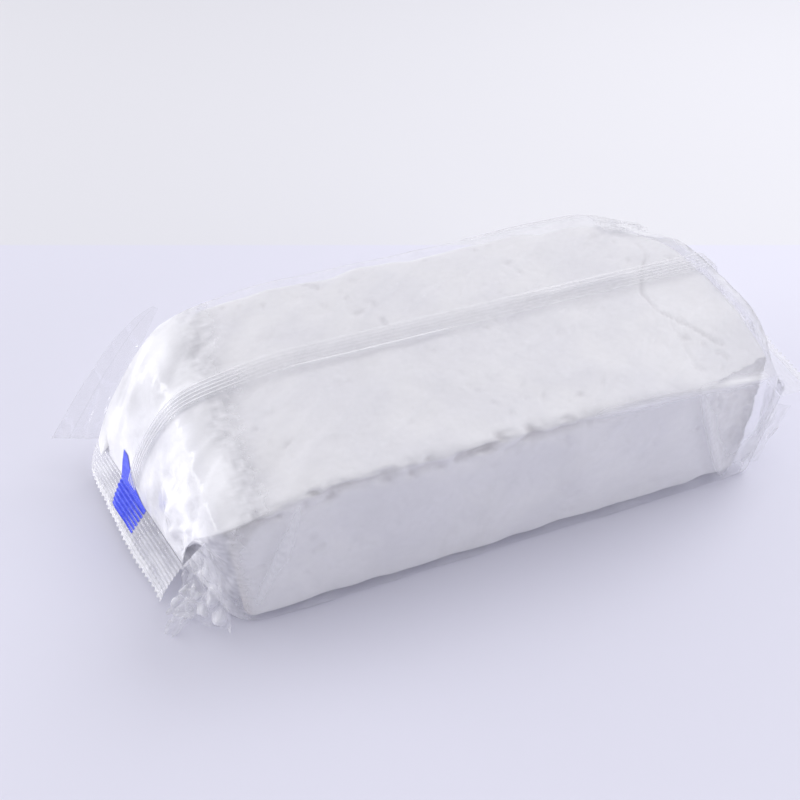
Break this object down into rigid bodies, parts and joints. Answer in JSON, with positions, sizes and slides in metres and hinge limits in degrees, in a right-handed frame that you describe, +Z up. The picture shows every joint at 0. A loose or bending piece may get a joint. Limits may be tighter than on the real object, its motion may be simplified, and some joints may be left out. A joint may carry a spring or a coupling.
{
  "type": "gymnastics chalk block",
  "caption": "Pressed white block of gymnastics chalk sealed in a clear flow-wrap film with a ribbed fin seal, crimped end seals and a blue print patch.",
  "frame": {"origin": "centre of the film's flat underside, the face the pack rests on", "axes": "+X along the block towards the end with the level seal, +Y across the block towards the side the fin seal is rooted on, +Z up"},
  "size_m": [0.2273, 0.0832, 0.0524],
  "materials": {
    "chalk": "matte",
    "clear_film": "gloss",
    "sealed_film": "gloss",
    "blue_ink": "gloss"
  },
  "bodies": {
    "pack": {"chalk_block": "chalk", "chalk_crumb_1": "chalk", "chalk_crumb_2": "chalk", "chalk_crumb_3": "chalk", "chalk_crumb_4": "chalk", "film_wrap": "clear_film", "left_end_tent": "clear_film", "right_end_tent": "clear_film", "left_fin_tail": "sealed_film", "right_fin_tail": "sealed_film"},
    "fin": {"fin_seal": "sealed_film"},
    "left_seal": {"left_end_seal": "sealed_film", "print_patch": "blue_ink"},
    "right_seal": {"right_end_seal": "sealed_film"},
    "back_ear": {"left_back_ear": "clear_film"}
  },
  "joints": [
    {"name": "fin_fold", "type": "hinge", "parent": "pack", "child": "fin", "pos_m": [0, 0.009, 0.052], "axis": [-1, 0, 0], "range_deg": [0, 165], "stiffness_Nm_per_rad": 0.0002},
    {"name": "left_seal_bend", "type": "hinge", "parent": "pack", "child": "left_seal", "pos_m": [-0.1005, 0.004, 0.012], "axis": [-0.3103, 0.9491, 0.0548], "range_deg": [-8, 80], "stiffness_Nm_per_rad": 0.0002},
    {"name": "right_seal_bend", "type": "hinge", "parent": "pack", "child": "right_seal", "pos_m": [0.09, 0, 0.0257], "axis": [0, -1, 0], "range_deg": [-60, 60], "stiffness_Nm_per_rad": 0.0002},
    {"name": "back_ear_bend", "type": "hinge", "parent": "pack", "child": "back_ear", "pos_m": [-0.0949, 0.03535, 0.03245], "axis": [-0.5822, -0.2209, -0.7825], "range_deg": [-24, 60], "stiffness_Nm_per_rad": 0.0002}
  ]
}
